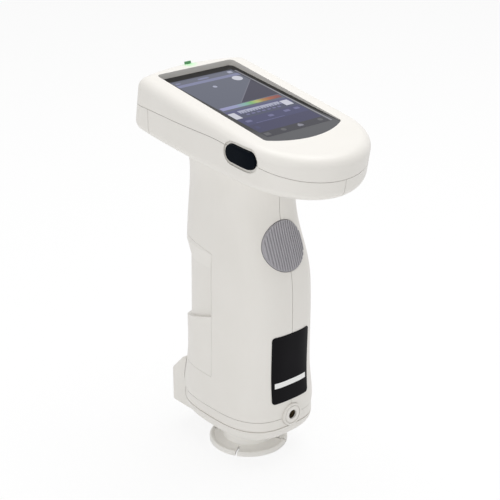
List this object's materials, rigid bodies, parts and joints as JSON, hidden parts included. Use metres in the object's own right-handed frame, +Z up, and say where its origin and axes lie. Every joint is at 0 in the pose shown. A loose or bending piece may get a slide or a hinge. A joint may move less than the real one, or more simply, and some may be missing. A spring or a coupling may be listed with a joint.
{
  "type": "handheld color spectrophotometer",
  "caption": "Handheld color spectrophotometer with a touch-screen head, pistol grip, thumb button, downward measuring nose and a turning foot plate.",
  "frame": {"origin": "centre of the measuring aperture, in the plane where the nose meets the sample", "axes": "+Z up along the measuring axis, +X to the user's right, +Y away from the user"},
  "size_m": [0.0762, 0.1359, 0.218],
  "materials": {
    "housing": "satin moulded ABS, off-white",
    "dark_plastic": "fine-grained black ABS",
    "nose_plastic": "satin white polycarbonate",
    "button_rubber": "ribbed grey elastomer",
    "key_plastic": "glossy black ABS",
    "flap_rubber": "soft-touch light grey TPU",
    "silicone": "translucent grey silicone",
    "screen_glass": "cover glass with black printed border",
    "display": "lit colour display",
    "status_light": "green translucent acrylic",
    "label": "bare black polyester plate",
    "board": "green solder-masked glass-epoxy laminate",
    "steel": "zinc-plated steel",
    "sheet": "pressed aluminium sheet",
    "insert": "turned brass",
    "sphere_coating": "white diffuse reflectance coating on ABS",
    "optics": "black anodised die-cast housing",
    "clear_glass": "polished optical glass",
    "mirror": "aluminised optical surface",
    "battery": "shrink-wrapped cell",
    "lamp": "lamp holder, white",
    "cable": "polyimide flat cable"
  },
  "bodies": {
    "housing": {"top_shell": "housing", "left_shell": "housing", "right_shell": "housing", "tail_cap": "housing", "grip_cover": "housing", "base_collar": "housing", "socket_block": "housing", "display_glass": "screen_glass", "display_module": "display", "display_bracket": "sheet", "head_board": "board", "buzzer": "dark_plastic", "status_lens": "status_light", "button_sleeve": "silicone", "switch_carrier": "dark_plastic", "button_board": "board", "measure_switch": "dark_plastic", "key_board": "board", "key_switch": "dark_plastic", "label_plate": "label", "threaded_boss": "housing", "threaded_insert": "insert", "data_socket": "steel", "port_board": "board", "measuring_nose": "nose_plastic", "sphere_lower": "sphere_coating", "sphere_upper": "sphere_coating", "lamp_left": "lamp", "lamp_right": "lamp", "lens_barrel": "optics", "collector_lens": "clear_glass", "spectrometer_body": "optics", "spectrometer_lid": "optics", "fold_mirror": "mirror", "concave_grating": "mirror", "sensor_board": "board", "main_board": "board", "battery_tray": "dark_plastic", "battery_pack": "battery", "ribbon_cable": "cable", "shell_screws": "steel", "base_screws": "steel", "head_screws": "steel", "display_screws": "steel", "sphere_screws": "steel"},
    "button": {"thumb_button": "button_rubber"},
    "key": {"power_key": "key_plastic"},
    "foot": {"stabiliser": "nose_plastic"},
    "flap": {"socket_flap": "flap_rubber"}
  },
  "joints": [
    {"name": "measure_press", "type": "slide", "parent": "housing", "child": "button", "axis": [0, 0.9438, -0.3305], "range_m": [0, 0.0012], "stiffness_N_per_m": 1500, "deforming": ["button_sleeve"]},
    {"name": "power_press", "type": "slide", "parent": "housing", "child": "key", "axis": [1, 0, 0], "range_m": [0, 0.0007], "stiffness_N_per_m": 2500},
    {"name": "stabiliser_turn", "type": "hinge", "parent": "housing", "child": "foot", "pos_m": [0, 0, 0], "axis": [0, 0, 1], "range_deg": [0, 40]},
    {"name": "flap_hinge", "type": "hinge", "parent": "housing", "child": "flap", "pos_m": [0, 0.0431, 0.0271], "axis": [-1, 0, 0], "range_deg": [0, 90]}
  ]
}
